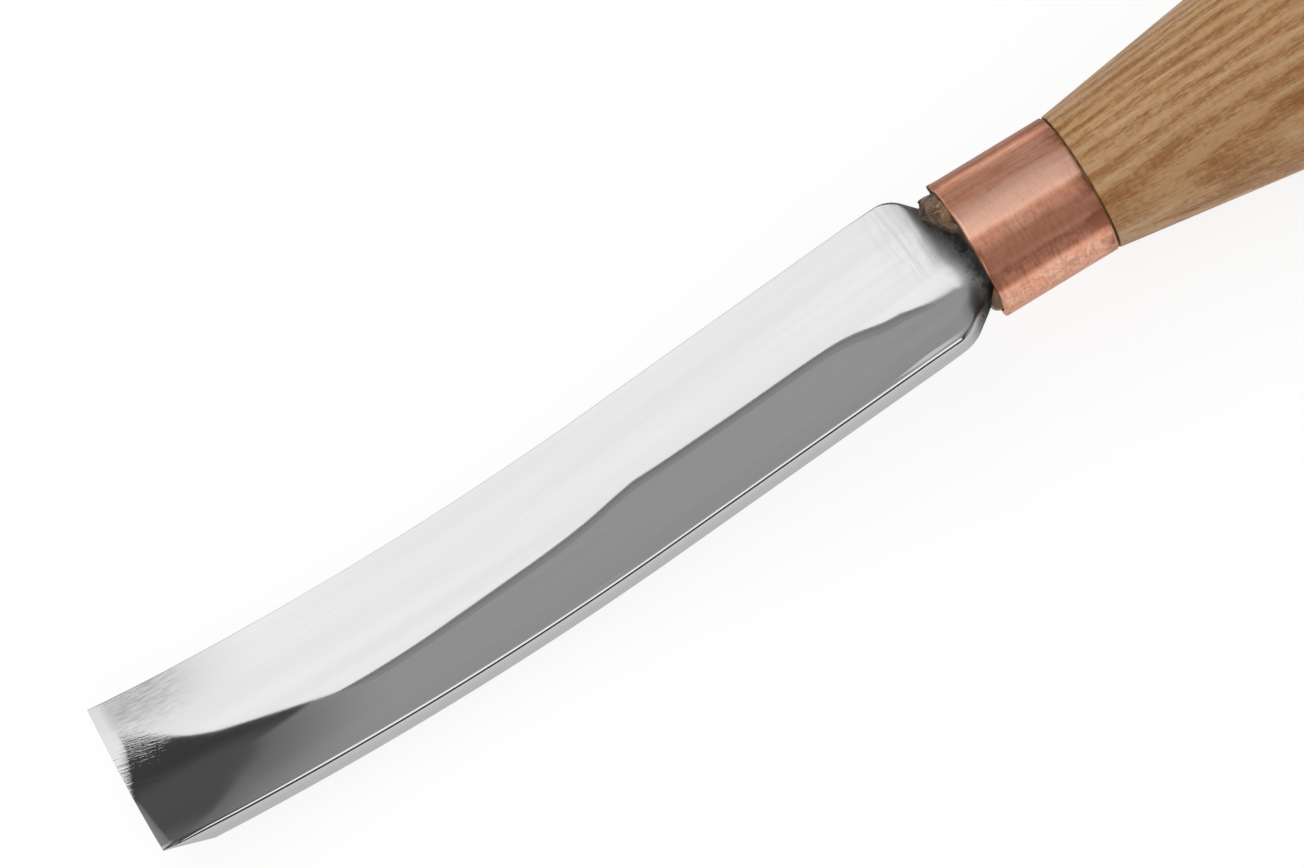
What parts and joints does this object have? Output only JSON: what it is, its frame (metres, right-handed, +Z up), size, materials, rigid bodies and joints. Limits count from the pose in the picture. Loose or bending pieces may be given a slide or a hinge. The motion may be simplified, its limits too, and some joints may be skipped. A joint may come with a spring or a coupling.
{
  "type": "bent carving gouge",
  "caption": "Hand carving gouge: hollow steel blade bent along its length, square bevelled edge, copper ferrule, turned ash handle with a rounded butt.",
  "frame": {"origin": "on the surface that the tool lies on, under the middle of its bounding box", "axes": "+X along the handle's axis towards the butt, +Z up out of the hollow of the blade, so the cutting edge is at -X"},
  "size_m": [0.2878, 0.035, 0.035],
  "materials": {
    "steel": "polished in the hollow, satin ground sides, black forge scale at the neck",
    "copper": "brushed copper tube with a light patina",
    "ash": "turned ash under a thin satin oil",
    "resin": "set brown bedding resin, rough where it squeezed out"
  },
  "bodies": {
    "root": {"blade": "steel", "ferrule": "copper", "handle": "ash", "tang_resin": "resin"}
  },
  "joints": []
}
